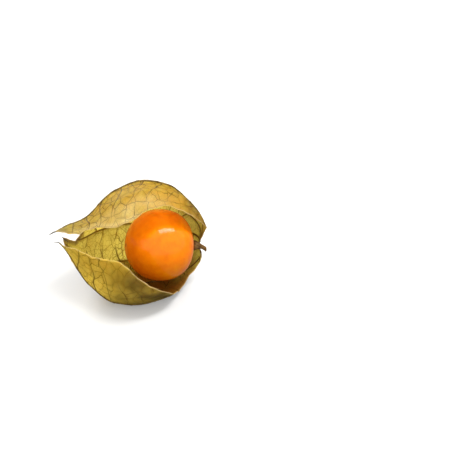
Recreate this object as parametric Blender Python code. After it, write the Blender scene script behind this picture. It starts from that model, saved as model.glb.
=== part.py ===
"""Ripe physalis lying on its side: a waxy berry in a papery husk torn open along its front.

The husk is one grown sheet of fused sepals. It closes round the stem at its base, is missing
along the front, and is torn into three lobes towards the tips. Units are metres, +Z is up,
and +X runs along the husk towards the stem. The origin ends up under the middle of the
object, on the surface that it lies on.
"""

import math

import bmesh
import bpy
import numpy as np
from mathutils import Vector

MM = 0.001

# Berry
BERRY_ACROSS = 19.4 * MM
BERRY_ALONG = 18.5 * MM
BERRY_START = 0.9 * MM  # from the husk's attachment to the nearest face of the berry
BERRY_DIMPLE = 0.5 * MM
BERRY_SEGMENTS = 36
BERRY_RINGS = 24

# Husk
HUSK_WALL = 0.5 * MM
RIB_COUNT = 10
RIB_AT = 90.0  # degrees round the husk, at one of its ribs
RIB_DEPTH = 0.065  # how far a panel's middle lies inside its ribs, as a share of the radius
TORN_ABOVE = 298.0  # degrees: past here the ribs fade out towards the torn edge
PRESSED_FLAT = 1.9 * MM  # how far the belly gives where it lies on the surface
HUSK_ROWS = 32

# Stem
STEM_RADIUS = 0.62 * MM
STEM_LENGTH = 3.1 * MM
STEM_DROOP = 0.15 / MM  # drop per squared length
RECEPTACLE_RADIUS = 2.1 * MM
RECEPTACLE_FACE = 0.55 * MM
STEM_SIDES = 14

# How the husk lies: its tips turned a little forwards and up, its opening facing up front
TIPS_FORWARD = math.radians(13)
TIPS_UP = math.radians(9)
OPENING_TILT = math.radians(35)

AXIS = Vector((
    -math.cos(TIPS_UP) * math.cos(TIPS_FORWARD),
    -math.cos(TIPS_UP) * math.sin(TIPS_FORWARD),
    math.sin(TIPS_UP),
))
OPENING = Vector((0, -math.cos(OPENING_TILT), math.sin(OPENING_TILT)))
FRONT = (OPENING - AXIS * OPENING.dot(AXIS)).normalized()
ABOVE = AXIS.cross(FRONT)

# Outline, base to tips: distance along the axis, radius, and how far the middle lies above it
OUTLINE_MM = (
    (-1.0, 1.5, 0.0),
    (-2.1, 2.8, 0.3),
    (-2.4, 4.6, 0.6),
    (-1.6, 6.8, 0.9),
    (1.6, 10.6, 1.0),
    (7.5, 14.9, 1.2),
    (15.4, 16.6, 0.7),
    (22.5, 15.1, -0.4),
    (29.6, 9.8, -1.2),
    (35.2, 3.8, 1.4),
    (37.6, 1.8, 2.2),
    (40.8, 0.9, 2.7),
)

# Edges, as (share of the outline's length, degrees round from the front, downwards)
LOWER_RIM = (
    (0.0, 126), (0.1, 112), (0.2, 99), (0.27, 87), (0.3, 77), (0.36, 61), (0.4, 54), (0.48, 42),
    (0.54, 32), (0.59, 22), (0.65, 15), (0.7, 14), (0.76, 14), (0.8, 15), (0.85, 21), (0.9, 32),
    (0.935, 52), (0.97, 80),
)
UPPER_RIM = (
    (0.0, 285), (0.05, 300), (0.1, 325), (0.15, 328), (0.25, 328), (0.32, 325), (0.4, 324.5),
    (0.45, 327), (0.5, 328.5), (0.55, 333), (0.6, 336), (0.65, 335), (0.7, 329), (0.75, 321),
    (0.8, 320), (0.85, 333), (0.9, 335), (0.94, 328), (1.0, 312),
)
LOWER_SEAM = ((0.0, 144), (0.3, 117), (0.86, 108), (0.92, 112), (0.97, 104))
BACK_SEAM_LOW = ((0.0, 144), (0.3, 117), (0.86, 108), (0.88, 144), (0.9, 176))
BACK_SEAM_HIGH = ((0.0, 234), (0.7, 234), (0.75, 208), (0.79, 192), (0.86, 187), (0.9, 186))
UPPER_SEAM = ((0.0, 234), (0.7, 234), (0.87, 237), (0.94, 256), (1.0, 284))

SHARED_LENGTH = 0.86  # up to here all three lobes have their rows at the same stations
SHARED_ROWS = 0.8
LOBES = (  # lower and upper edge, where the tip ends, columns of faces
    (LOWER_RIM, LOWER_SEAM, 0.97, 9),
    (BACK_SEAM_LOW, BACK_SEAM_HIGH, 0.9, 14),
    (UPPER_SEAM, UPPER_RIM, 1.0, 10),
)


def clear_scene():
    for old in list(bpy.data.objects):
        bpy.data.objects.remove(old, do_unlink=True)


def make_material(name, colour, roughness):
    material = bpy.data.materials.new(name)
    material.use_nodes = True
    shader = material.node_tree.nodes["Principled BSDF"]
    shader.inputs["Base Color"].default_value = (*colour, 1.0)
    shader.inputs["Roughness"].default_value = roughness
    shader.inputs["Metallic"].default_value = 0.0
    return material


def make_object(name, shape, material, sharp_degrees=40):
    mesh = bpy.data.meshes.new(name)
    shape.to_mesh(mesh)
    shape.free()
    mesh.materials.append(material)
    mesh.shade_smooth()
    mesh.set_sharp_from_angle(angle=math.radians(sharp_degrees))
    made = bpy.data.objects.new(name, mesh)
    bpy.context.collection.objects.link(made)
    return made


def smooth_value(knots, at):
    """Values at a place on a smooth curve through (place, value, ...) knots, with no overshoot."""
    places = np.array([knot[0] for knot in knots])
    values = np.array([knot[1:] for knot in knots], dtype=float)
    slopes = np.diff(values, axis=0) / np.diff(places)[:, None]
    last = len(knots) - 1
    at = min(max(at, places[0]), places[-1])
    here = min(max(int(np.searchsorted(places, at)) - 1, 0), last - 1)

    def knot_slope(index):
        before, after = slopes[max(index - 1, 0)], slopes[min(index, last - 1)]
        turning = before * after <= 0
        return np.where(turning, 0, 2 * before * after / np.where(turning, 1, before + after))

    span = places[here + 1] - places[here]
    part = (at - places[here]) / span
    rise = values[here + 1] - values[here]
    start, end = knot_slope(here) * span, knot_slope(here + 1) * span
    curve = values[here] + part * start + part**2 * (3 * rise - 2 * start - end)
    curve = curve + part**3 * (start + end - 2 * rise)
    return curve.tolist()


def outline_knots():
    """The outline's points, each with its share of the outline's length."""
    points = np.array(OUTLINE_MM) * MM
    steps = np.linalg.norm(np.diff(points[:, :2], axis=0), axis=1)
    shares = np.concatenate(([0.0], np.cumsum(steps))) / steps.sum()
    return [(share, *point) for share, point in zip(shares, points)]


OUTLINE = outline_knots()


def fade(value, start, end):
    part = min(max((value - start) / (end - start), 0.0), 1.0)
    return part * part * (3 - 2 * part)


def husk_point(share, degrees):
    """Point of the husk's outer face, from the middle of its attachment to the stem."""
    along, radius, lift = smooth_value(OUTLINE, share)
    place = (degrees - RIB_AT) * RIB_COUNT / 360
    to_middle = 1 - abs(place - round(place)) * 2  # 1 on a rib, 0 in the middle of a panel
    depth = RIB_DEPTH * fade(share, 0.03, 0.2) * (1 - fade(share, 0.5, 0.7))
    depth *= 1 - 0.6 * fade(degrees, TORN_ABOVE - 10, TORN_ABOVE + 14)
    depth *= fade(degrees, 40, 75)
    radius *= 1 - depth * (1 - to_middle**2.2)
    turn = math.radians(degrees)
    return AXIS * along + ABOVE * lift + radius * (FRONT * math.cos(turn) - ABOVE * math.sin(turn))


def surface_height():
    """Height of the surface that the husk lies on, under its attachment."""
    lowest = min(
        husk_point(row / 60, degrees).z for row in range(60) for degrees in range(100, 150, 2)
    )
    return lowest + PRESSED_FLAT


def make_lobe(low_edge, high_edge, end, columns, surface):
    """One lobe of the husk's outer face, as an open sheet from the base to its tip."""
    lobe = bmesh.new()
    bmesh.ops.create_grid(lobe, x_segments=HUSK_ROWS, y_segments=columns, size=0.5)
    for vertex in lobe.verts:
        row, column = vertex.co.x + 0.5, vertex.co.y + 0.5
        if row <= SHARED_ROWS:
            share = row / SHARED_ROWS * SHARED_LENGTH
        else:
            share = SHARED_LENGTH + (row - SHARED_ROWS) / (1 - SHARED_ROWS) * (end - SHARED_LENGTH)
        low, high = smooth_value(low_edge, share)[0], smooth_value(high_edge, share)[0]
        point = husk_point(share, low + (high - low) * column)
        point.z = max(point.z, surface)
        vertex.co = point
    return lobe


def make_husk(surface):
    sheet = bmesh.new()
    for low_edge, high_edge, end, columns in LOBES:
        lobe = make_lobe(low_edge, high_edge, end, columns, surface)
        piece = bpy.data.meshes.new("lobe")
        lobe.to_mesh(piece)
        lobe.free()
        sheet.from_mesh(piece)
        bpy.data.meshes.remove(piece)
    bmesh.ops.remove_doubles(sheet, verts=sheet.verts, dist=0.005 * MM)
    face = max(sheet.faces, key=lambda each: each.calc_center_median().z)
    if face.normal.z < 0:
        bmesh.ops.reverse_faces(sheet, faces=sheet.faces)
    paper = make_material("husk_paper", (0.52, 0.38, 0.12), 0.6)
    husk = make_object("husk", sheet, paper, 60)
    wall = husk.modifiers.new("wall", "SOLIDIFY")
    wall.thickness = HUSK_WALL
    wall.offset = -1
    wall.use_even_offset = True
    wall.thickness_clamp = 1.0
    return husk


def along_axis(shape, start, droop=0.0):
    """Lays a shape made up its own Z along the husk's axis, its zero at start."""
    for vertex in shape.verts:
        x, y, z = vertex.co
        vertex.co = AXIS * (start + z) + FRONT * x + ABOVE * y
        vertex.co.z -= droop * min(z, 0.0) ** 2


def make_berry():
    berry = bmesh.new()
    bmesh.ops.create_uvsphere(
        berry, u_segments=BERRY_SEGMENTS, v_segments=BERRY_RINGS, radius=BERRY_ACROSS / 2
    )
    bmesh.ops.scale(berry, vec=(1, 1, BERRY_ALONG / BERRY_ACROSS), verts=berry.verts)
    for vertex in berry.verts:
        across = math.hypot(vertex.co.x, vertex.co.y)
        if vertex.co.z < 0:
            vertex.co.z += BERRY_DIMPLE * math.exp(-(across / (3 * BERRY_DIMPLE)) ** 2)
    along_axis(berry, BERRY_START + BERRY_ALONG / 2)
    bmesh.ops.recalc_face_normals(berry, faces=berry.faces)
    skin = make_material("berry_skin", (0.95, 0.24, 0.01), 0.3)
    return make_object("berry", berry, skin, 80)


def make_stem():
    """The stalk, cut square, with the receptacle that the berry grows on at its inner end."""
    stem = bmesh.new()
    stalk_rings = 6
    profile = [
        (0.0, RECEPTACLE_FACE),
        (0.7 * RECEPTACLE_RADIUS, RECEPTACLE_FACE),
        (RECEPTACLE_RADIUS, 0.4 * RECEPTACLE_FACE),
        (0.8 * RECEPTACLE_RADIUS, -0.1 * RECEPTACLE_FACE),
        (1.1 * STEM_RADIUS, -0.5 * RECEPTACLE_FACE),
    ]
    for ring in range(1, stalk_rings + 1):
        profile.append((STEM_RADIUS, -STEM_LENGTH * ring / stalk_rings))
    profile.append((0.0, -STEM_LENGTH))
    points = [stem.verts.new((radius, 0, height)) for radius, height in profile]
    lines = [stem.edges.new(pair) for pair in zip(points, points[1:])]
    bmesh.ops.spin(
        stem, geom=points + lines, axis=(0, 0, 1), cent=(0, 0, 0),
        angle=math.tau, steps=STEM_SIDES, use_merge=True,
    )
    bmesh.ops.remove_doubles(stem, verts=stem.verts, dist=0.001 * MM)
    along_axis(stem, 0.0, STEM_DROOP)
    bmesh.ops.recalc_face_normals(stem, faces=stem.faces)
    bark = make_material("stem_bark", (0.14, 0.06, 0.015), 0.65)
    return make_object("stem", stem, bark, 35)


def stand_on_origin(pieces):
    """Moves every piece so that the origin is under the middle of the object."""
    seen = bpy.context.evaluated_depsgraph_get()
    corners = []
    for piece in pieces:
        mesh = piece.evaluated_get(seen).data
        corners += [vertex.co.copy() for vertex in mesh.vertices]
    low = [min(corner[side] for corner in corners) for side in range(3)]
    high = [max(corner[side] for corner in corners) for side in range(3)]
    shift = Vector((-(low[0] + high[0]) / 2, -(low[1] + high[1]) / 2, -low[2]))
    for piece in pieces:
        for vertex in piece.data.vertices:
            vertex.co += shift


clear_scene()
stand_on_origin([make_berry(), make_husk(surface_height()), make_stem()])
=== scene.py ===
import math
import bmesh
import bpy
import numpy as np
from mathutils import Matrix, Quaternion, Vector, kdtree, noise


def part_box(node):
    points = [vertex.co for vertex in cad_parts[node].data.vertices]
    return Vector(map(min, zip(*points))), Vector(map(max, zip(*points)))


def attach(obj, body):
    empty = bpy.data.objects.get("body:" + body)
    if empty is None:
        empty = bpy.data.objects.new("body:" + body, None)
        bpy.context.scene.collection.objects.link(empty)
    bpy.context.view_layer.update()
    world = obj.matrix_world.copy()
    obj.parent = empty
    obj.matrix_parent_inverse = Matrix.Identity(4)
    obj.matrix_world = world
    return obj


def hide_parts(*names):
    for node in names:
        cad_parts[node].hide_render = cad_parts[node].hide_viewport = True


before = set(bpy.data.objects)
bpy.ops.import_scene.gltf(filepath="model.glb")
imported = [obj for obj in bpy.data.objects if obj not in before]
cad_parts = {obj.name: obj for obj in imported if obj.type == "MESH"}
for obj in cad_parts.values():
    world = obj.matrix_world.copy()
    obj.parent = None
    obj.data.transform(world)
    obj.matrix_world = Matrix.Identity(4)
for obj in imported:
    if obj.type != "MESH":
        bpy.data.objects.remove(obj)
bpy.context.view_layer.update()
mm = 0.001

# How the fruit lies: tips turned a little forward and up, the torn side facing up front
lie = {"tipsForward": 13, "tipsUp": 9, "openingTilt": 35}


def lyingDirections():
    forward, up, tilt = (math.radians(lie[key]) for key in ("tipsForward", "tipsUp", "openingTilt"))
    toTips = Vector((
        -math.cos(up) * math.cos(forward), -math.cos(up) * math.sin(forward), math.sin(up)))
    opening = Vector((0, -math.cos(tilt), math.sin(tilt)))
    toFront = (opening - toTips * opening.dot(toTips)).normalized()
    return toTips, toFront, toTips.cross(toFront)


axis, front, above = lyingDirections()
berryLow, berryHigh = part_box("berry")
berryMiddle = (Vector(berryLow) + Vector(berryHigh)) / 2
berry = {
    "across": 19.4 * mm,
    "along": 18.5 * mm,
    "start": 0.9 * mm,  # from the husk's attachment to the berry
    "dimple": 0.5 * mm,
    "stemEndFullness": 2.35,  # above 2 the stem end is flatter than a ball
    "unevenness": 0.09 * mm,
    "meridians": 144,
    "rings": 96,
    "orange": [(0.7, 0.13, 0.001), (0.85, 0.2, 0.001), (0.92, 0.28, 0.004)],
    "scar": (0.16, 0.05, 0.012),
    "scarRadius": 0.55 * mm,
    "scarDepth": 0.12 * mm,
    "dimpleWidth": 0.16,  # share of the radius
    "unevenScale": 1.7,
    "paleRound": (1.5, 6.0, 0.5),  # round the stem: mm where it starts and ends, how strong
    "scarRound": (0.35, 0.75, 0.85),
    "gloss": (0.09, 0.08),  # lowest roughness, and how much it varies
    # clouds: amount, scale per metre, detail, roughness
    "tone": [(0.7, 70, 3.0, 0.5), (0.3, 600, 2.0, 0.5)],
    "pores": [(1.0, 2400, 2.0, 0.6), (1.5, 420, 2.0, 0.5)],
}
attachment = berryMiddle - axis * (berry["start"] + berry["along"] / 2)


def fade(value, start, end):
    part = np.clip((value - start) / (end - start), 0, 1)
    return part * part * (3 - 2 * part)


def window(value, rise, fall):  # 1 between the two fades, 0 outside them
    return fade(value, *rise) * (1 - fade(value, *fall))


def smoothValue(knots, at):  # a smooth curve through (place, value, ...) knots, with no overshoot
    places = np.array([knot[0] for knot in knots])
    values = np.array([knot[1:] for knot in knots], dtype=float)
    slopes = np.diff(values, axis=0) / np.diff(places)[:, None]
    before, after = np.vstack([slopes[:1], slopes]), np.vstack([slopes, slopes[-1:]])
    turning = before * after <= 0
    tangents = np.where(turning, 0, 2 * before * after / np.where(turning, 1, before + after))
    here = np.clip(np.searchsorted(places, at, side="right") - 1, 0, len(places) - 2)
    span = (places[here + 1] - places[here])[:, None]
    part = np.clip((at - places[here])[:, None] / span, 0, 1)
    rise = values[here + 1] - values[here]
    start, end = tangents[here] * span, tangents[here + 1] * span
    return (values[here] + part * start + part**2 * (3 * rise - 2 * start - end)
            + part**3 * (start + end - 2 * rise))


# Which part of the noise each use reads; the torn edges read 0 to 5
seeds = {"wander": 3, "crumple": 11, "wave": 23, "cords": 31, "shadeTint": 41, "pale": 43}
seedStep = (7.3, 3.1, 5.7)
noiseGain = 1.6  # brings the noise to about -1 to 1


def noiseAt(points, size, seed):
    offset = Vector([seed * step for step in seedStep])
    return np.array([noise.noise(Vector(point) / size + offset) for point in points]) * noiseGain


def addMesh(name, shape, finishes):
    mesh = shape
    if isinstance(shape, bmesh.types.BMesh):
        mesh = bpy.data.meshes.new(name)
        shape.to_mesh(mesh)
        shape.free()
    for finish in finishes:
        mesh.materials.append(finish)
    mesh.shade_smooth()
    made = bpy.data.objects.new(name, mesh)
    bpy.context.collection.objects.link(made)
    return made


class Wire:  # a number on its way through a shader, the usual signs add Math nodes
    def __init__(self, socket):
        self.socket = socket

    def maths(self, operation, first, second=0.0):
        made = addNode(
            self.socket.id_data, "ShaderNodeMath", {"operation": operation}, {0: first, 1: second})
        return Wire(made.outputs[0])

    def __add__(self, other):
        return self.maths("ADD", self, other)

    def __radd__(self, other):
        return self.maths("ADD", other, self)

    def __sub__(self, other):
        return self.maths("SUBTRACT", self, other)

    def __rsub__(self, other):
        return self.maths("SUBTRACT", other, self)

    def __mul__(self, other):
        return self.maths("MULTIPLY", self, other)

    def __rmul__(self, other):
        return self.maths("MULTIPLY", other, self)

    def __abs__(self):
        return self.maths("ABSOLUTE", self)

    def larger(self, other):
        return self.maths("MAXIMUM", self, other)

    def nearest(self):
        return self.maths("ROUND", self)


def addNode(tree, kind, settings=None, inputs=None):
    made = tree.nodes.new(kind)
    for key, value in (settings or {}).items():
        if key == "stops":
            ramp = made.color_ramp
            while len(ramp.elements) < len(value):
                ramp.elements.new(0.5)
            for element, (place, colour) in zip(ramp.elements, value):
                element.position = place
                element.color = (*colour, 1)
        else:
            setattr(made, key, value)
    for key, value in (inputs or {}).items():
        if isinstance(value, Wire):
            value = value.socket
        if isinstance(value, bpy.types.NodeSocket):
            tree.links.new(value, made.inputs[key])
        elif isinstance(value, tuple) and made.inputs[key].type == "RGBA":
            made.inputs[key].default_value = (*value, 1)
        else:
            made.inputs[key].default_value = value
    return made


class Finish:  # one material: its tree, and the few nodes that its patterns are built from
    def __init__(self, name):
        self.material = bpy.data.materials.new(name)
        self.material.use_nodes = True
        self.tree = self.material.node_tree
        self.tree.nodes.clear()

    def add(self, kind, settings=None, inputs=None):
        return addNode(self.tree, kind, settings, inputs)

    def objectPlace(self):
        return self.add("ShaderNodeTexCoord").outputs["Object"]

    def attribute(self, name):
        return Wire(self.add("ShaderNodeAttribute", {"attribute_name": name}).outputs["Fac"])

    def cloud(self, place, scale, detail=3.0, roughness=0.5):
        made = self.add("ShaderNodeTexNoise", None, {
            "Vector": place, "Scale": scale, "Detail": detail, "Roughness": roughness})
        return Wire(made.outputs["Fac"])

    def clouds(self, place, layers):  # several in one, each (amount, scale, detail, roughness)
        amount, *first = layers[0]
        total = self.cloud(place, *first) * amount
        for amount, *more in layers[1:]:
            total = total + self.cloud(place, *more) * amount
        return total

    def line(self, distance, inner, outer):  # 1 on the line, 0 past its outer edge
        made = self.add("ShaderNodeMapRange", {"interpolation_type": "SMOOTHSTEP"}, {
            "Value": distance, "From Min": inner, "From Max": outer, "To Min": 1.0, "To Max": 0.0})
        return Wire(made.outputs["Result"])

    def ramp(self, value, stops):
        return self.add("ShaderNodeValToRGB", {"stops": stops}, {"Fac": value}).outputs["Color"]

    def mix(self, amount, first, second):
        made = self.add("ShaderNodeMix", {"data_type": "RGBA"}, {
            "Factor": amount, 6: first, 7: second})
        return made.outputs[2]

    def bump(self, height, distance, strength=1.0):
        made = self.add("ShaderNodeBump", None, {
            "Height": height, "Distance": distance, "Strength": strength})
        return made.outputs["Normal"]

    def surface(self, **inputs):
        named = {key.replace("_", " "): value for key, value in inputs.items()}
        return self.add("ShaderNodeBsdfPrincipled", None, named).outputs["BSDF"]

    def output(self, shader):
        self.add("ShaderNodeOutputMaterial", None, {"Surface": shader})
        return self.material


# Husk: one sheet of grown-together sepals, cut flat as (share of length, turn), then shaped
husk = {
    "wall": 0.18 * mm,
    "rows": 172,
    # base to tips: distance along the axis, radius, how far the middle lies above it, in mm
    "outline": [
        (-1.0, 1.5, 0.0), (-2.1, 2.8, 0.3), (-2.4, 4.6, 0.6), (-1.6, 6.8, 0.9), (1.6, 10.6, 1.0),
        (7.5, 14.9, 1.2), (15.4, 16.5, 0.7), (22.5, 14.9, -0.4), (29.6, 9.2, -1.2),
        (35.2, 3.8, 1.4), (37.6, 1.8, 2.2), (40.8, 0.9, 2.7),
    ],
    "neck": (-1.3, 0.92, 0.0),  # where the sheet closes round the stem
    # edges: share of the outline's length, degrees round from the front, downwards
    "lowerRim": [
        (0.0, 126), (0.1, 112), (0.2, 99), (0.27, 87), (0.3, 77), (0.36, 61), (0.4, 54), (0.48, 42),
        (0.54, 32), (0.59, 22), (0.65, 15), (0.7, 14), (0.76, 14), (0.8, 15), (0.85, 21),
        (0.9, 36), (0.925, 60), (0.945, 82),
    ],
    "upperRim": [
        (0.0, 285), (0.05, 300), (0.1, 325), (0.15, 328), (0.25, 328), (0.32, 325), (0.4, 324.5),
        (0.45, 327), (0.5, 328.5), (0.55, 333), (0.6, 336), (0.65, 335), (0.7, 329), (0.75, 321),
        (0.8, 320), (0.85, 335), (0.9, 336), (0.94, 322), (0.965, 300),
    ],
    "lowerSeam": [(0.0, 144), (0.3, 117), (0.86, 108), (0.91, 113), (0.945, 100)],
    "backSeamLow": [(0.0, 144), (0.3, 117), (0.86, 108), (0.88, 144), (0.9, 176)],
    "backSeamHigh": [(0.0, 234), (0.71, 234), (0.765, 208), (0.805, 192), (0.87, 187), (0.9, 186)],
    "upperSeam": [(0.0, 234), (0.71, 234), (0.87, 237), (0.93, 256), (0.965, 284)],
    # lower edge, upper edge, share where the tip ends, columns of faces, torn past (low, high)
    "lobes": [
        ("lowerRim", "lowerSeam", 0.945, 62, 0.0, 0.86),
        ("backSeamLow", "backSeamHigh", 0.9, 96, 0.86, 0.71),
        ("upperSeam", "upperRim", 0.965, 70, 0.71, 0.0),
    ],
    "sharedLength": 0.86,  # up to here all lobes have their rows at the same stations
    "sharedRows": 0.8,  # share of the rows that lie there
    "weld": 1e-5,  # joins the lobes along their seams while the sheet is flat
    "ragged": 0.16 * mm,
    "biteSize": 1.8 * mm,
    "nickSize": 0.6 * mm,
    "nicks": 0.5,  # how deep the nicks are beside the bites
    "raggedFrom": (0.004, 0.03),  # share of length past a seam's end where the tear sets in
    "calmTip": 0.08,  # share of length before a tip where it is smooth again
    "ribs": [90, 126, 162, 198, 234, 270],
    # panels sink between ribs and creases: degrees round where each starts, and how deep its
    # middle lies inside its sides, as a share of the radius
    "panels": [
        (0, 0.0), (54, 0.03), (90, 0.065), (126, 0.065), (162, 0.065), (198, 0.065),
        (234, 0.065), (270, 0.05), (300, 0.02), (336, 0.0), (372, 0.0),
    ],
    "panelFade": ((0.03, 0.2), (0.72, 0.9)),  # shares of length: comes in, goes out
    "panelRoundness": 2.2,
    "reliefFade": ((0.02, 0.12), (0.9, 0.98)),
    "ribHeight": 0.12 * mm,
    "ribWidth": 0.6 * mm,
    # laterals: the side veins that leave the ribs
    "lateralSpacing": 5.6 * mm,
    "lateralHeight": 0.07 * mm,
    "lateralWidth": 0.26 * mm,
    "lateralSlant": 0.25,
    "lateralSweep": 25,  # more slant further from the rib, per metre
    "lateralWander": (6 * mm, 1.1 * mm),  # size and height
    "lateralStagger": (2.3, 1.4),  # mm from rib to rib, and across a rib
    "lateralEnd": (0.75, 1.05),  # share of the way to the middle of its panel
    "lateralWeakens": (8 * mm, 15 * mm, 0.7),  # from, to, by how much
    "quilting": 0.13 * mm,
    "quiltingFrom": (0.2 * mm, 3 * mm),
    "crumple": [(9 * mm, 0.3 * mm), (4 * mm, 0.16 * mm), (1.9 * mm, 0.06 * mm)],
    "crumpleFrom": (0, 2.5 * mm),
    "lip": 0.34 * mm,
    "lipWidth": 0.9 * mm,
    "waviness": 0.34 * mm,
    "waveSize": 3.2 * mm,
    "waveReach": (0.5 * mm, 4 * mm),
    "overFloor": 0.1 * mm,  # room for the rib cords under the sheet
}


def outlineKnots():
    points = np.array(husk["outline"]) * mm
    steps = np.linalg.norm(np.diff(points[:, :2], axis=0), axis=1)
    shares = np.concatenate(([0.0], np.cumsum(steps))) / steps.sum()
    points[0] = np.array(husk["neck"]) * mm
    return [(share, *point) for share, point in zip(shares, points)], steps.sum()


huskOutline, huskLength = outlineKnots()


def cutHusk():
    sheet = bmesh.new()
    shared, sharedRows = husk["sharedLength"], husk["sharedRows"]
    for index, (lowEdge, highEdge, end, columns, tornLow, tornHigh) in enumerate(husk["lobes"]):
        lobe = bmesh.new()
        bmesh.ops.create_grid(lobe, x_segments=husk["rows"], y_segments=columns, size=0.5)
        cut = bpy.data.meshes.new("lobe")
        lobe.to_mesh(cut)
        lobe.free()
        corners = np.empty(len(cut.vertices) * 3, dtype=np.float32)
        cut.vertices.foreach_get("co", corners)
        corners = corners.reshape(-1, 3)
        row, column = corners[:, 0].astype(float) + 0.5, corners[:, 1].astype(float) + 0.5
        share = np.where(
            row <= sharedRows, row / sharedRows * shared,
            shared + (row - sharedRows) / (1 - sharedRows) * (end - shared))
        radius = smoothValue(huskOutline, share)[:, 1]
        edges = []
        for side, (edge, torn) in enumerate(((lowEdge, tornLow), (highEdge, tornHigh))):
            # each edge has its own line through the noise, so no two tear alike
            along = np.column_stack(
                [share * huskLength, np.full_like(share, index + side * 5.0), share * 0])
            bites = noiseAt(along, husk["biteSize"], index + side * 3)
            bites += husk["nicks"] * noiseAt(along, husk["nickSize"], index + side)
            raggedStart, raggedFull = husk["raggedFrom"]
            depth = husk["ragged"] * bites * fade(share, torn + raggedStart, torn + raggedFull)
            depth *= 1 - fade(share, end - husk["calmTip"], end)
            edges.append(smoothValue(husk[edge], share)[:, 0] + np.degrees(depth / radius))
        turn = edges[0] + (edges[1] - edges[0]) * column
        corners[:, 0], corners[:, 1], corners[:, 2] = share, turn / 360, 0
        cut.vertices.foreach_set("co", corners.ravel())
        sheet.from_mesh(cut)
        bpy.data.meshes.remove(cut)
    bmesh.ops.remove_doubles(sheet, verts=sheet.verts, dist=husk["weld"])
    flat = bpy.data.meshes.new("husk")
    sheet.to_mesh(flat)
    sheet.free()
    return flat


def tornEdge(mesh, places):  # a search tree of the points along a sheet's own edge
    uses = np.zeros(len(mesh.edges), dtype=int)
    loopEdges = np.empty(len(mesh.loops), dtype=np.int32)
    mesh.loops.foreach_get("edge_index", loopEdges)
    np.add.at(uses, loopEdges, 1)
    ends = np.empty(len(mesh.edges) * 2, dtype=np.int32)
    mesh.edges.foreach_get("vertices", ends)
    rim = np.unique(ends.reshape(-1, 2)[uses == 1])
    tree = kdtree.KDTree(len(rim))
    for index in rim:
        tree.insert(Vector(places[index]), int(index))
    tree.balance()
    return tree


def distanceFrom(tree, places):
    return np.array([tree.find(Vector(place))[2] for place in places])


def nearestRib(turn, radius):  # distance from the nearest rib, and which side of which rib it is
    ribs = np.array(husk["ribs"], dtype=float)
    gaps = turn[:, None] - ribs[None, :]
    nearest = np.abs(gaps).argmin(axis=1)
    gap = gaps[np.arange(len(turn)), nearest]
    return np.radians(np.abs(gap)) * radius, nearest, np.sign(gap)


def plainSheet(share, turn):  # middle line, outward direction and radius, before any relief
    along, radius, lift = smoothValue(huskOutline, share).T
    outwards = np.outer(np.cos(np.radians(turn)), front) - np.outer(np.sin(np.radians(turn)), above)
    middle = np.array(attachment) + np.outer(along, axis) + np.outer(lift, above)
    return middle, outwards, radius


def reliefSheet(share, turn, fromEdge):  # the same points with ribs, quilting, crumples and lips
    middle, outwards, radius = plainSheet(share, turn)
    plain = middle + outwards * radius[:, None]

    starts, depths = np.array(husk["panels"]).T
    panel = np.clip(np.searchsorted(starts, turn, side="right") - 1, 0, len(starts) - 2)
    fromMiddle = np.abs((turn - starts[panel]) / (starts[panel + 1] - starts[panel]) * 2 - 1)
    depth = depths[panel] * window(share, *husk["panelFade"])
    shaped = radius * (1 - depth * (1 - np.minimum(fromMiddle, 1) ** husk["panelRoundness"]))

    fromRib, rib, side = nearestRib(turn, radius)
    quiet = window(share, *husk["reliefFade"])
    wanderSize, wander = husk["lateralWander"]
    ribStagger, sideStagger = husk["lateralStagger"]
    slant = husk["lateralSlant"] * fromRib + husk["lateralSweep"] * fromRib**2
    lateral = share * huskLength - slant + wander * noiseAt(plain, wanderSize, seeds["wander"])
    lateral = (lateral + (rib * ribStagger + side * sideStagger) * mm) / husk["lateralSpacing"]
    fromLateral = np.abs(lateral - np.round(lateral)) * husk["lateralSpacing"]
    firstRib, lastRib = husk["ribs"][0], husk["ribs"][-1]
    halfTurn = np.radians((husk["ribs"][1] - firstRib) / 2)
    halfPanel = np.where((turn > firstRib) & (turn < lastRib), halfTurn * radius, 1)
    weakFrom, weakTo, weaker = husk["lateralWeakens"]
    runs = 1 - fade(fromRib / halfPanel, *husk["lateralEnd"])
    runs = runs * (1 - weaker * fade(fromRib, weakFrom, weakTo))

    relief = husk["ribHeight"] * np.exp(-(fromRib / husk["ribWidth"]) ** 2)
    relief += husk["lateralHeight"] * np.exp(-(fromLateral / husk["lateralWidth"]) ** 2) * runs
    relief += husk["quilting"] * np.sin(np.pi * lateral) ** 2 * fade(fromRib, *husk["quiltingFrom"])
    for number, (size, height) in enumerate(husk["crumple"]):
        crumple = noiseAt(plain, size, seeds["crumple"] + number)
        relief += height * crumple * fade(fromRib, *husk["crumpleFrom"])
    relief *= quiet

    # torn edges turn a little outwards and wave
    relief += husk["lip"] * np.clip(1 - fromEdge / husk["lipWidth"], 0, 1) ** 2 * quiet
    wave = noiseAt(plain, husk["waveSize"], seeds["wave"])
    relief += husk["waviness"] * wave * (1 - fade(fromEdge, *husk["waveReach"])) * quiet
    corners = middle + outwards * (shaped + relief)[:, None]
    corners[:, 2] = np.maximum(corners[:, 2], husk["overFloor"])
    return corners, fromRib, lateral, runs
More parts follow.
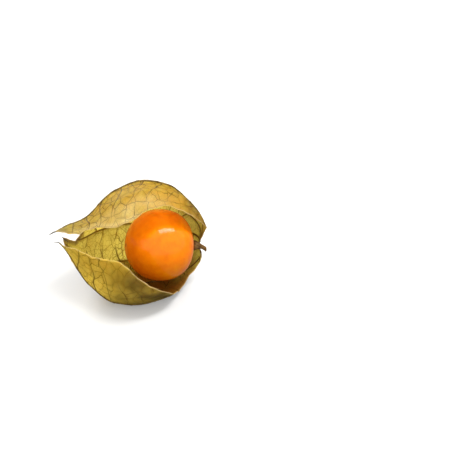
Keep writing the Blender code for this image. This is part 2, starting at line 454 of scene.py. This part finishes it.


# Where the paper is brown, or painted with shade or highlight: shares of length, degrees round,
# distances from the torn edge
tones = {
    "tips": {"share": (0.86, 0.97), "amount": 0.8},
    "backMargin": {"share": (0.68, 0.74), "turn": ((150, 180), (226, 236)),
                   "fromEdge": (0.5 * mm, 1.7 * mm)},
    "neck": {"share": (0.01, 0.09), "amount": 0.7},
    # Painted shade: the lower lobe the fruit lies on, darker towards the bottom and the right
    "bedShade": {"share": ((0.04, 0.2), (0.44, 0.78)), "turn": ((6, 44), (125, 165))},
    # Behind the berry round the base: painted shade and orange bounce from the berry, partly the
    # base's own darker tone
    "backShade": {"share": (0.17, 0.42), "turn": (150, 230), "amount": 0.5},
    "shadeClouds": {"size": 5 * mm, "mean": 0.85, "swing": 0.25},
    # Painted highlight: a pale band where the upper lobe's crest catches the light, and a paler
    # strip along its rolled lip
    "highlightBand": {"share": ((0.3, 0.46), (0.76, 0.88)), "turn": (298, 318), "amount": 0.75},
    "highlightLip": {"share": ((0.42, 0.52), (0.82, 0.92)), "turn": (250, 290),
                "fromEdge": (0.8 * mm, 2.6 * mm), "amount": 1.4},
    "highlightClouds": {"size": 4 * mm, "mean": 0.75, "swing": 0.6},
}


def clouded(look, places, seed):
    return look["mean"] + look["swing"] * noiseAt(places, look["size"], seed)


def paintedTones(share, turn, fromEdge, plain):
    tips, margin, neck = tones["tips"], tones["backMargin"], tones["neck"]
    withered = fade(share, *tips["share"]) * tips["amount"]
    backMargin = fade(share, *margin["share"]) * window(turn, *margin["turn"])
    withered = np.maximum(withered, backMargin * (1 - fade(fromEdge, *margin["fromEdge"])))
    withered = np.maximum(withered, (1 - fade(share, *neck["share"])) * neck["amount"])

    bedShade, back = tones["bedShade"], tones["backShade"]  # painted shade on the lower lobe the fruit lies on, and behind the berry
    stained = window(share, *bedShade["share"]) * window(turn, *bedShade["turn"])
    backShade = (1 - fade(share, *back["share"])) * fade(turn, *back["turn"])
    stained = np.maximum(stained, back["amount"] * backShade)
    stained = stained * clouded(tones["shadeClouds"], plain, seeds["shadeTint"])

    # painted highlight on the upper lobe's crest and lip
    band, lip = tones["highlightBand"], tones["highlightLip"]
    bleached = window(share, *band["share"]) * fade(turn, *band["turn"]) * band["amount"]
    highlightLip = window(share, *lip["share"]) * (1 - fade(fromEdge, *lip["fromEdge"]))
    bleached = np.maximum(bleached, highlightLip * fade(turn, *lip["turn"]) * lip["amount"])
    bleached = bleached * np.clip(clouded(tones["highlightClouds"], plain, seeds["pale"]), 0, 1)
    return withered, stained, bleached


def shapeHusk(flat):
    corners = np.empty(len(flat.vertices) * 3, dtype=np.float32)
    flat.vertices.foreach_get("co", corners)
    corners = corners.reshape(-1, 3)
    share, turn = corners[:, 0].astype(float), corners[:, 1].astype(float) * 360
    middle, outwards, radius = plainSheet(share, turn)
    plain = middle + outwards * radius[:, None]
    edgeTree = tornEdge(flat, plain)
    fromEdge = distanceFrom(edgeTree, plain)
    shaped, fromRib, lateral, runs = reliefSheet(share, turn, fromEdge)
    flat.vertices.foreach_set("co", shaped.astype(np.float32).ravel())

    withered, stained, bleached = paintedTones(share, turn, fromEdge, plain)
    owner = np.empty(len(flat.loops), dtype=np.int32)
    flat.loops.foreach_get("vertex_index", owner)
    grain = flat.uv_layers.new(name="grain")
    ribStep = husk["ribs"][1] - husk["ribs"][0]
    spread = np.column_stack([share * huskLength / mm, (turn - husk["ribs"][0]) / ribStep])[owner]
    grain.data.foreach_set("uv", spread.astype(np.float32).ravel())
    for name, values in (
            ("fromRib", fromRib / mm), ("lateral", lateral), ("runs", runs),
            ("fromEdge", fromEdge / mm), ("withered", withered), ("stained", stained),
            ("bleached", bleached)):
        layer = flat.attributes.new(name, "FLOAT", "POINT")
        layer.data.foreach_set("value", values.astype(np.float32))
    flat.update()
    return edgeTree


# Veins in mm from their middle, clouds as (scale per metre, detail, roughness)
paperPattern = {
    "stretch": (1.15, 8.0),  # of the vein net, along the husk and round it
    "warpScale": 0.33,
    "warp": (1.9, 1.9, 0.0),
    "net": (0.33, 0.15, 1.1),  # cells per mm, half a vein's width, width of the slope beside it
    "fineNet": (0.95, 0.11, 0.45),
    "faintVeins": {"cloud": (170, 2.0), "edges": (0.36, 0.62), "amount": 0.5},
    "rib": {"edges": (0.16, 0.5), "amount": 0.9},
    "lateral": {"edges": (0.07, 0.3), "thinning": 0.005, "least": 0.55, "swing": 0.4},
    "patches": (90, 4.0, 0.6),
    "nearRib": {"cloud": (210, 2.0), "edges": (0.3, 3.6), "amount": 0.6},
    "green": {"cloud": (150, 3.0), "edges": (0.4, 0.54), "amount": 0.65},
    "blotches": {"cloud": (330, 5.0, 0.65), "edges": (0.37, 0.49), "amount": 0.4},
    "cells": {"cloud": (900, 3.0, 0.6), "edges": (0.34, 0.6), "amount": 0.36},
    "shadeBesideVeins": 0.4,
    "bleached": 0.65,
    "withered": 0.75,
    "lipShadeLine": {"at": 0.42, "edges": (0.06, 0.26), "amount": 0.5},
    "frayed": {"cloud": (150, 3.0), "edges": (0.04, 0.28), "gain": 2.2, "less": 0.5},
    "fibres": (2600, 3.0, 0.7),
    "heights": {"pillows": 0.9, "finePillows": 0.4, "cells": 0.7, "fibres": 0.25, "laterals": 0.5,
                "ribs": 0.5},
    "bump": (0.12 * mm, 0.75),
    "sheen": {"cloud": 160, "swing": 0.2, "level": 0.08},
    "solidBlocks": 0.85,  # how much of the light a vein or painted shade holds back
    "thinness": {"swing": 1.1, "least": 0.45},
}


def paperFinish(name, look):
    paper, pattern = Finish(name), paperPattern
    grain = paper.add("ShaderNodeUVMap", {"uv_map": "grain"}).outputs["UV"]
    parts = paper.add("ShaderNodeSeparateXYZ", None, {"Vector": grain})
    length, turn = Wire(parts.outputs["X"]), Wire(parts.outputs["Y"])
    alongStretch, roundStretch = pattern["stretch"]
    spread = paper.add("ShaderNodeCombineXYZ", None, {
        "X": length * alongStretch, "Y": turn * roundStretch}).outputs[0]
    warp = paper.add("ShaderNodeTexNoise", None, {
        "Vector": spread, "Scale": pattern["warpScale"], "Detail": 2.0})
    moved = paper.add("ShaderNodeVectorMath", {"operation": "MULTIPLY_ADD"}, {
        0: warp.outputs["Color"], 1: pattern["warp"], 2: spread}).outputs[0]
    place = paper.objectPlace()

    def network(scale, width, slope):  # thin veins, and the little pillows between them
        cells = paper.add("ShaderNodeTexVoronoi", {
            "voronoi_dimensions": "2D", "feature": "DISTANCE_TO_EDGE"}, {
            "Vector": moved, "Scale": scale})
        fromVein = Wire(cells.outputs["Distance"])
        veins = paper.line(fromVein, 0.0, width * scale)
        return veins, 1.0 - paper.line(fromVein, 0.0, slope * scale)

    def spots(spot):
        return paper.line(paper.cloud(place, *spot["cloud"]), *spot["edges"]) * spot["amount"]

    fromRib, fromEdge = paper.attribute("fromRib"), paper.attribute("fromEdge")
    lateral, withered = paper.attribute("lateral"), paper.attribute("withered")
    stained, side = paper.attribute("stained"), pattern["lateral"]
    fromLateral = abs(lateral - lateral.nearest()) * (husk["lateralSpacing"] / mm)
    fromLateral = fromLateral + fromRib * side["thinning"]
    ribs = paper.line(fromRib, *pattern["rib"]["edges"])
    laterals = paper.line(fromLateral, *side["edges"])
    strength = 1.0 - spots(pattern["faintVeins"])
    net, pillows = network(*pattern["net"])
    fineNet, finePillows = network(*pattern["fineNet"])
    laterals = laterals * paper.attribute("runs")
    veins = laterals * (side["least"] + strength * side["swing"])
    veins = veins.larger(ribs * pattern["rib"]["amount"]).larger(net * strength * look["net"])
    veins = veins.larger(fineNet * strength * look["fineNet"])

    patches = paper.cloud(place, *pattern["patches"])
    cells = paper.cloud(place, *pattern["cells"]["cloud"])
    cellSpots = paper.line(cells, *pattern["cells"]["edges"]) * pattern["cells"]["amount"]
    beside, rim, frayed = pattern["nearRib"], pattern["lipShadeLine"], pattern["frayed"]
    nearRib = paper.line(fromRib, *beside["edges"]) * paper.cloud(place, *beside["cloud"])
    # a thin dark line just inside the torn edge: painted shade where the lip rolls outward
    lipShadeLine = paper.line(abs(fromEdge - rim["at"]), *rim["edges"]) * rim["amount"]
    frays = paper.cloud(place, *frayed["cloud"]) * frayed["gain"] - frayed["less"]
    colour = paper.ramp(patches, look["paper"])
    for amount, tint in (
            (nearRib * beside["amount"], look["nearRib"]),
            (spots(pattern["green"]), look["green"]),
            (spots(pattern["blotches"]), look["blotch"]),
            (cellSpots, look["blotch"]),
            # painted highlight on the pillows' tops, painted shade on their slopes beside the veins
            (pillows * cells * look["pillowHighlight"], look["paper"][-1][1]),
            ((1.0 - pillows) * pattern["shadeBesideVeins"], look["paper"][0][1]),
            # painted highlight: paler paper where the crest and lip catch the light
            (paper.attribute("bleached") * pattern["bleached"], look["bleached"]),
            # painted shade, dark brown outside and orange-brown inside
            (stained * look["stained"], look["shadeTint"]),
            (veins, look["vein"]),
            (withered * pattern["withered"], look["withered"]),
            (lipShadeLine, look["withered"]),
            (paper.line(fromEdge, *frayed["edges"]) * frays, look["edge"])):
        colour = paper.mix(amount, colour, tint)

    high, sheen, thin = pattern["heights"], pattern["sheen"], pattern["thinness"]
    fibres = paper.cloud(place, *pattern["fibres"])
    height = pillows * high["pillows"] + finePillows * high["finePillows"] + cells * high["cells"]
    height = height + fibres * high["fibres"] + laterals * high["laterals"] + ribs * high["ribs"]
    body = paper.surface(
        Base_Color=colour, Normal=paper.bump(height, *pattern["bump"]),
        Roughness=paper.cloud(place, sheen["cloud"]) * sheen["swing"] + look["roughness"],
        Specular_IOR_Level=sheen["level"])
    light = paper.add("ShaderNodeBsdfTranslucent", None, {"Color": look["lightThrough"]}).outputs[0]
    solid = veins.larger(withered).larger(stained * look["shadeSolid"])
    through = (patches * thin["swing"] + thin["least"]) * look["through"]
    through = (1.0 - solid * pattern["solidBlocks"]) * through
    both = paper.add("ShaderNodeMixShader", None, {"Fac": through, 1: body, 2: light}).outputs[0]
    return paper.output(both)


# One paper in two copies: the outside painted darker as shade, the inside painted far paler and
# yellower as light shining through the sheet
huskOutside = {
    "paper": [
        (0.38, (0.12, 0.095, 0.007)), (0.5, (0.28, 0.235, 0.02)), (0.62, (0.56, 0.485, 0.11)),
    ],
    "nearRib": (0.4, 0.37, 0.05),
    "blotch": (0.3, 0.17, 0.02),
    "green": (0.19, 0.21, 0.014),
    "vein": (0.045, 0.018, 0.002),
    "withered": (0.2, 0.13, 0.05),
    "shadeTint": (0.04, 0.019, 0.003),
    "stained": 0.96,
    "bleached": (0.94, 0.84, 0.4),
    "pillowHighlight": 0.7,
    "edge": (0.68, 0.48, 0.23),
    "net": 1.0,
    "fineNet": 0.35,
    "roughness": 0.4,
    "lightThrough": (0.97, 0.855, 0.37),
    "through": 0.68,
    "shadeSolid": 1.0,
}
# the inside: painted pale yellow glow standing in for light through the sheet
huskInside = dict(
    huskOutside,
    paper=[(0.36, (0.9, 0.67, 0.06)), (0.5, (1.0, 0.8, 0.12)), (0.64, (1.0, 0.9, 0.3))],
    nearRib=(0.62, 0.52, 0.06),
    blotch=(0.7, 0.44, 0.05),
    green=(0.85, 0.78, 0.1),
    # orange-brown painted shade and painted bounce from the berry on the inside
    shadeTint=(0.36, 0.13, 0.014),
    stained=1.7,
    lightThrough=(1.0, 0.87, 0.3),
    through=0.9,
    shadeSolid=0.6,
    vein=(0.18, 0.08, 0.006),
    net=0.95,
    fineNet=0.8,
)
huskEdge = dict(
    huskOutside,
    paper=[(0.3, (0.8, 0.66, 0.34)), (0.7, (0.95, 0.82, 0.5))],
    withered=(0.3, 0.2, 0.1),
)


def makeHusk():
    flat = cutHusk()
    edgeTree = shapeHusk(flat)
    roof = berryHigh[2]  # the sheet's faces above the berry have to look up
    if sum(face.normal.z for face in flat.polygons if face.center.z > roof) < 0:
        flat.flip_normals()
    finishes = [
        paperFinish("husk outside", huskOutside),
        paperFinish("husk inside", huskInside),
        paperFinish("husk torn edge", huskEdge),
    ]
    made = addMesh("papery_husk", flat, finishes)
    wall = made.modifiers.new("wall", "SOLIDIFY")
    wall.thickness = husk["wall"]
    wall.offset = -1
    wall.material_offset = 1
    wall.material_offset_rim = 2
    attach(made, "root")
    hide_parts("husk")
    print("husk shaped,", len(flat.polygons), "faces a side")
    return edgeTree


# Raised cords along the ribs, and the dry hooked hairs at the tips
cords = {
    "ribs": [  # degrees round, share of length where it starts and ends
        (90, 0.275, 0.935), (126, 0.008, 0.862), (162, 0.008, 0.885),
        (198, 0.008, 0.782), (234, 0.008, 0.708), (270, 0.008, 0.955),
    ],
    "radius": [
        (0.0, 0.3 * mm), (0.1, 0.27 * mm), (0.5, 0.22 * mm), (0.85, 0.15 * mm), (1.0, 0.1 * mm),
    ],
    "stationsAlong": 260,
    "knobbly": 0.18,  # how much the radius varies
    "knobSize": 2.2 * mm,
    "thinnestEnd": 0.3,
    "standsOut": 0.25,  # how far its middle lies outside the sheet, in radii
    "tone": [(0.6, 420, 3.0, 0.6), (0.4, 2400, 3.0, 0.5)],
    "startTaper": (-0.01, 0.02),  # shares of length beside the start
    "endTaper": 0.05,
    "colours": [
        (0.35, (0.06, 0.036, 0.01)), (0.5, (0.15, 0.095, 0.024)), (0.68, (0.33, 0.23, 0.07)),
    ],
    "hairs": [  # share, degrees, radius in mm, then how far the end droops in mm
        ([(0.93, 274, 0.12), (0.955, 289, 0.2), (0.975, 296, 0.2), (0.99, 300, 0.14),
          (1.0, 300, 0.05)], 1.1),
        ([(0.905, 88, 0.1), (0.935, 90, 0.15), (0.955, 88, 0.12), (0.975, 88, 0.05)], 1.0),
        ([(0.862, 178, 0.08), (0.89, 181, 0.16), (0.902, 182, 0.16), (0.918, 186, 0.05)], -0.2),
    ],
    "weld": 0.0005 * mm,
    "hairStations": 26,
    "hairInside": 0.1 * mm,
    "hairColours": [
        (0.35, (0.06, 0.05, 0.035)), (0.5, (0.13, 0.115, 0.085)), (0.68, (0.3, 0.27, 0.2)),
    ],
}


def cordFinish(name, stops):
    cord = Finish(name)
    place = cord.objectPlace()
    tone = cord.clouds(place, cords["tone"])
    body = cord.surface(
        Base_Color=cord.ramp(tone, stops), Roughness=tone * 0.3 + 0.4,
        Normal=cord.bump(tone, 0.08 * mm, 0.7), Specular_IOR_Level=0.2)
    return cord.output(body)


def sweptTubes(name, paths):  # closed round tubes through (points, radii)
    curve = bpy.data.curves.new(name, "CURVE")
    curve.dimensions = "3D"
    curve.bevel_depth = 1
    curve.bevel_resolution = 2
    curve.use_fill_caps = True
    for points, radii in paths:
        spline = curve.splines.new("POLY")
        spline.points.add(len(points) - 1)
        spline.points.foreach_set("co", np.column_stack([points, np.ones(len(points))]).ravel())
        spline.points.foreach_set("radius", radii)
    holder = bpy.data.objects.new(name, curve)
    shape = bmesh.new()
    shape.from_mesh(holder.to_mesh())
    bpy.data.objects.remove(holder)
    bpy.data.curves.remove(curve)
    bmesh.ops.remove_doubles(shape, verts=shape.verts, dist=cords["weld"])
    bmesh.ops.recalc_face_normals(shape, faces=shape.faces)
    return shape


def makeCords(edgeTree):
    paths = []
    for number, (rib, start, end) in enumerate(cords["ribs"]):
        share = np.linspace(start, end, round(cords["stationsAlong"] * (end - start)))
        turn = np.full_like(share, rib)
        middle, outwards, radius = plainSheet(share, turn)
        fromEdge = distanceFrom(edgeTree, middle + outwards * radius[:, None])
        points = reliefSheet(share, turn, fromEdge)[0]
        radii = smoothValue(cords["radius"], share)[:, 0]
        knobs = noiseAt(points, cords["knobSize"], seeds["cords"] + number)
        radii *= 1 + cords["knobbly"] * knobs
        thick = fade(share - start, *cords["startTaper"])
        thick = np.minimum(thick, 1 - fade(share, end - cords["endTaper"], end))
        radii *= cords["thinnestEnd"] + (1 - cords["thinnestEnd"]) * thick
        points = points + outwards * (radii * cords["standsOut"])[:, None]
        points[:, 2] = np.maximum(points[:, 2], radii)
        paths.append((points, radii))
    finish = cordFinish("rib cord", cords["colours"])
    made = addMesh("husk_ribs", sweptTubes("husk_ribs", paths), [finish])
    paths = []
    for knots, droop in cords["hairs"]:
        start, end = knots[0][0], knots[-1][0]
        steps = np.linspace(start, end, cords["hairStations"])
        turn, radii = smoothValue(knots, steps).T
        middle, outwards, radius = plainSheet(steps, turn)
        points = middle + outwards * (radius - cords["hairInside"])[:, None]
        bend = fade(steps, (start + end) / 2, end + 0.02)
        points = points - np.outer(bend * droop * mm, above)
        paths.append((points, radii * mm))
    finish = cordFinish("dry tip", cords["hairColours"])
    hairs = addMesh("husk_tip_hairs", sweptTubes("husk_tip_hairs", paths), [finish])
    for piece in (made, hairs):
        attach(piece, "root")
        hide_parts("husk")
    print("rib cords and tips made")


# Berry
def skinFinish():
    skin = Finish("berry skin")
    place = skin.objectPlace()
    tone = skin.clouds(place, berry["tone"])
    dark, middle, light = berry["orange"]
    colour = skin.ramp(tone, [(0.3, dark), (0.5, middle), (0.7, light)])
    fromScar, fromStem = skin.attribute("fromScar"), skin.attribute("fromStem")
    inner, outer, amount = berry["paleRound"]
    colour = skin.mix(skin.line(fromStem, inner, outer) * amount, colour, light)
    inner, outer, amount = berry["scarRound"]
    colour = skin.mix(skin.line(fromScar, inner, outer) * amount, colour, berry["scar"])
    normal = skin.bump(skin.clouds(place, berry["pores"]), 0.02 * mm, 0.5)
    lowest, swing = berry["gloss"]
    body = skin.surface(
        Base_Color=colour, Roughness=skin.cloud(place, 300) * swing + lowest, Normal=normal,
        Subsurface_Weight=0.2, Subsurface_Radius=(1.0, 0.3, 0.05), Subsurface_Scale=1.6 * mm,
        Specular_IOR_Level=0.2)
    return skin.output(body)


def makeBerry():
    ball = bmesh.new()
    bmesh.ops.create_uvsphere(
        ball, u_segments=berry["meridians"], v_segments=berry["rings"], radius=1)
    fromStem = ball.verts.layers.float.new("fromStem")
    fromScar = ball.verts.layers.float.new("fromScar")
    for corner in ball.verts:
        x, y, z = corner.co
        across = math.hypot(x, y)
        if z < 0:  # the stem end, flatter than a ball, with a dimple round the receptacle
            full = berry["stemEndFullness"]
            swell = (abs(z) ** full + across**full) ** (-1 / full)
            x, y, z = x * swell, y * swell, z * swell
            across *= swell
            dimple = berry["dimple"] / (berry["along"] / 2)
            z += dimple * math.exp(-((across / berry["dimpleWidth"]) ** 2))
        uneven = noise.noise(Vector((x, y, z)) * berry["unevenScale"])
        swell = 1 + berry["unevenness"] / berry["across"] * 2 * uneven
        halfAcross, halfAlong = berry["across"] / 2, berry["along"] / 2
        local = Vector((x * halfAcross, y * halfAcross, z * halfAlong)) * swell
        dot = math.hypot(local.x, local.y)
        if z > 0:  # the small scar where the flower's style stood
            local.z -= berry["scarDepth"] * math.exp(-((dot / berry["scarRadius"]) ** 2))
        corner[fromScar] = (dot if z > 0 else berry["across"]) / mm
        corner[fromStem] = (dot if z < 0 else berry["across"]) / mm
        corner.co = berryMiddle + front * local.x + above * local.y + axis * local.z
    bmesh.ops.recalc_face_normals(ball, faces=ball.faces)
    made = addMesh("ripe_berry", ball, [skinFinish()])
    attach(made, "root")
    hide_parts("berry")
    print("berry made")


# Stem, with the receptacle at its inner end
stem = {
    "radius": 0.62 * mm,
    "length": 3.1 * mm,
    "droop": 0.15 / mm,  # drop per squared length
    # receptacle and collar, from the berry's side outwards: radius and height in mm
    "profile": [
        (0.0, 0.8), (0.81, 0.8), (1.242, 0.48), (1.35, 0.2), (1.215, -0.12), (0.98, -0.9),
        (0.98, -1.15), (0.86, -1.35), (0.72, -1.55),
    ],
    "stalkFrom": 1.8 * mm,
    "stalkRings": 9,
    "flare": 0.08,  # how much thicker its cut end is
    "sides": 40,
    "ridges": 7,
    "ridgeHeight": 0.07,
    "cutBevel": 0.05 * mm,
    "weld": 0.001 * mm,
    "bark": [(0.35, (0.06, 0.028, 0.008)), (0.5, (0.16, 0.08, 0.02)), (0.66, (0.29, 0.165, 0.05))],
    "cut": [(0.35, (0.2, 0.12, 0.045)), (0.65, (0.4, 0.28, 0.12))],
    "pith": (0.1, 0.06, 0.025),
    "fibreStretch": (0.25, 1.0, 1.0),  # long along the stalk
    # clouds: scale per metre, detail, roughness
    "fibres": (2300, 4.0, 0.6),
    "patches": (700, 3.0, 0.5),
    "grain": (3000, 3.0, 0.6),
}


def barkFinish():
    bark = Finish("stem bark")
    place = bark.objectPlace()
    stretched = bark.add("ShaderNodeMapping", {"vector_type": "POINT"}, {
        "Vector": place, "Scale": stem["fibreStretch"]}).outputs[0]
    fibres = bark.cloud(stretched, *stem["fibres"])
    patches = bark.cloud(place, *stem["patches"])
    colour = bark.ramp(fibres * 0.6 + patches * 0.4, stem["bark"])
    body = bark.surface(
        Base_Color=colour, Roughness=fibres * 0.2 + 0.5, Normal=bark.bump(fibres, 0.06 * mm, 0.8),
        Specular_IOR_Level=0.2)
    return bark.output(body)


def cutFinish():
    wood = Finish("stem cut")
    place = wood.objectPlace()
    grain = wood.cloud(place, *stem["grain"])
    fromMiddle = wood.attribute("fromMiddle")
    colour = wood.ramp(grain, stem["cut"])
    colour = wood.mix(wood.line(fromMiddle, 0.12, 0.3) * 0.7, colour, stem["pith"])
    body = wood.surface(
        Base_Color=colour, Roughness=grain * 0.2 + 0.6, Normal=wood.bump(grain, 0.05 * mm, 0.8))
    return wood.output(body)


def makeStem():
    stalk = bmesh.new()
    radius, tip, first = stem["radius"], stem["length"], stem["stalkFrom"]
    profile = [(across * mm, height * mm) for across, height in stem["profile"]]
    for ring in range(stem["stalkRings"] + 1):
        part = ring / stem["stalkRings"]
        profile.append((radius * (1 + stem["flare"] * part**3), -first - (tip - first) * part))
    profile.append((0.0, -tip))
    points = [stalk.verts.new((across, 0, height)) for across, height in profile]
    lines = [stalk.edges.new(pair) for pair in zip(points, points[1:])]
    bmesh.ops.spin(
        stalk, geom=points + lines, axis=(0, 0, 1), cent=(0, 0, 0),
        angle=math.tau, steps=stem["sides"], use_merge=True)
    bmesh.ops.remove_doubles(stalk, verts=stalk.verts, dist=stem["weld"])
    bmesh.ops.recalc_face_normals(stalk, faces=stalk.faces)
    fromMiddle = stalk.verts.layers.float.new("fromMiddle")
    for face in stalk.faces:
        face.material_index = int(all(corner.co.z < -tip + stem["weld"] for corner in face.verts))
    for corner in stalk.verts:
        x, y, z = corner.co
        across = math.hypot(x, y)
        corner[fromMiddle] = across / mm
        ridged = 1 + stem["ridgeHeight"] * math.cos(stem["ridges"] * math.atan2(y, x)) * (z < 0)
        corner.co = attachment + axis * z + (front * x + above * y) * ridged
        corner.co.z -= stem["droop"] * min(z, 0) ** 2
    rim = [
        edge for edge in stalk.edges if len({face.material_index for face in edge.link_faces}) > 1]
    bmesh.ops.bevel(
        stalk, geom=rim, offset=stem["cutBevel"], segments=2, profile=0.5, affect="EDGES",
        material=-1)
    made = addMesh("cut_stem", stalk, [barkFinish(), cutFinish()])
    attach(made, "root")
    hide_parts("stem")
    print("stem made")


# Studio: pale floor, a wide soft panel in front, a lamp behind, and a strip for the gloss
studio = {
    "floor": (0.52, 0.52, 0.515),
    "floorGlow": 0.21,  # a glowing table top, which keeps its shadows pale
    "floorBounce": 0.18,  # how much light it sends back to the fruit
    "floorSize": 12.0,
    "floorGap": 0.02 * mm,
    "around": 0.4,  # dim light from all sides
    "backdrop": (1.0, 1.0, 1.0),
    "strip": {
        "towards": (0.34, -0.06, 0.94), "away": 0.6, "size": (0.115, 0.46), "watts": 3.1,
        "roll": 40,
    },
    "lights": [  # name, direction from the fruit, how wide in degrees, strength
        ("frontPanel", (0.25, -0.7, 0.67), 150, 2.8),
        ("behind", (-0.3, 0.87, 0.4), 44, 3.6),
    ],
    "lampsAway": 0.5,
    "cameraUp": 35,
    "cameraDistance": 1.023,
    "lens": 300,
    "nearest": 0.01,
    "aim": (8.54 * mm, 5.01 * mm),  # right and up of the attachment, as the camera sees it
}


def hangLamp(lamp, direction, away, roll=0):
    holder = bpy.data.objects.new(lamp.name, lamp)
    towards = Vector(direction).normalized()
    holder.location = berryMiddle + towards * away
    turned = towards.to_track_quat("Z", "Y") @ Quaternion((0, 0, 1), roll)
    holder.rotation_euler = turned.to_euler()
    bpy.context.collection.objects.link(holder)


def makeStudio():
    ground = bmesh.new()
    bmesh.ops.create_grid(ground, x_segments=1, y_segments=1, size=studio["floorSize"] / 2)
    table = Finish("pale floor")
    pale = table.surface(
        Base_Color=studio["floor"], Roughness=0.8, Emission_Color=(1.0, 1.0, 1.0),
        Emission_Strength=studio["floorGlow"])
    bounce = table.add("ShaderNodeBsdfDiffuse", None, {
        "Color": (studio["floorBounce"],) * 3}).outputs[0]
    ray = table.add("ShaderNodeLightPath").outputs["Is Camera Ray"]
    top = table.add("ShaderNodeMixShader", None, {"Fac": ray, 1: bounce, 2: pale}).outputs[0]
    floor = addMesh("floor", ground, [table.output(top)])
    floor.location.z = -studio["floorGap"]
    world = bpy.data.worlds.new("studio")
    bpy.context.scene.world = world
    world.use_nodes = True
    tree = world.node_tree
    tree.nodes.clear()
    dim = addNode(tree, "ShaderNodeBackground", None, {
        "Color": (1.0, 1.0, 1.0), "Strength": studio["around"]})
    seen = addNode(tree, "ShaderNodeBackground", None, {
        "Color": studio["backdrop"], "Strength": 1.0})
    ray = addNode(tree, "ShaderNodeLightPath").outputs["Is Camera Ray"]
    both = addNode(tree, "ShaderNodeMixShader", None, {
        "Fac": ray, 1: dim.outputs[0], 2: seen.outputs[0]})
    addNode(tree, "ShaderNodeOutputWorld", None, {"Surface": both.outputs[0]})
    look = studio["strip"]
    strip = bpy.data.lights.new("strip", "AREA")
    strip.shape = "RECTANGLE"
    strip.size, strip.size_y = look["size"]
    strip.energy = look["watts"]
    hangLamp(strip, look["towards"], look["away"], math.radians(look["roll"]))
    for name, direction, width, strength in studio["lights"]:
        lamp = bpy.data.lights.new(name, "SUN")
        lamp.angle = math.radians(width)
        lamp.energy = strength
        hangLamp(lamp, direction, studio["lampsAway"])


def makeCamera():
    up = math.radians(studio["cameraUp"])
    back = Vector((0, -math.cos(up), math.sin(up)))
    right, skyward = Vector((1, 0, 0)), Vector((0, math.sin(up), math.cos(up)))
    aim = attachment + right * studio["aim"][0] + skyward * studio["aim"][1]
    lens = bpy.data.cameras.new("camera")
    lens.lens = studio["lens"]
    lens.clip_start = studio["nearest"]
    camera = bpy.data.objects.new("camera", lens)
    camera.location = aim + back * studio["cameraDistance"]
    camera.rotation_euler = back.to_track_quat("Z", "Y").to_euler()
    bpy.context.collection.objects.link(camera)
    bpy.context.scene.camera = camera
    bpy.context.scene.view_settings.view_transform = "Standard"


makeBerry()
makeCords(makeHusk())
makeStem()
makeStudio()
makeCamera()
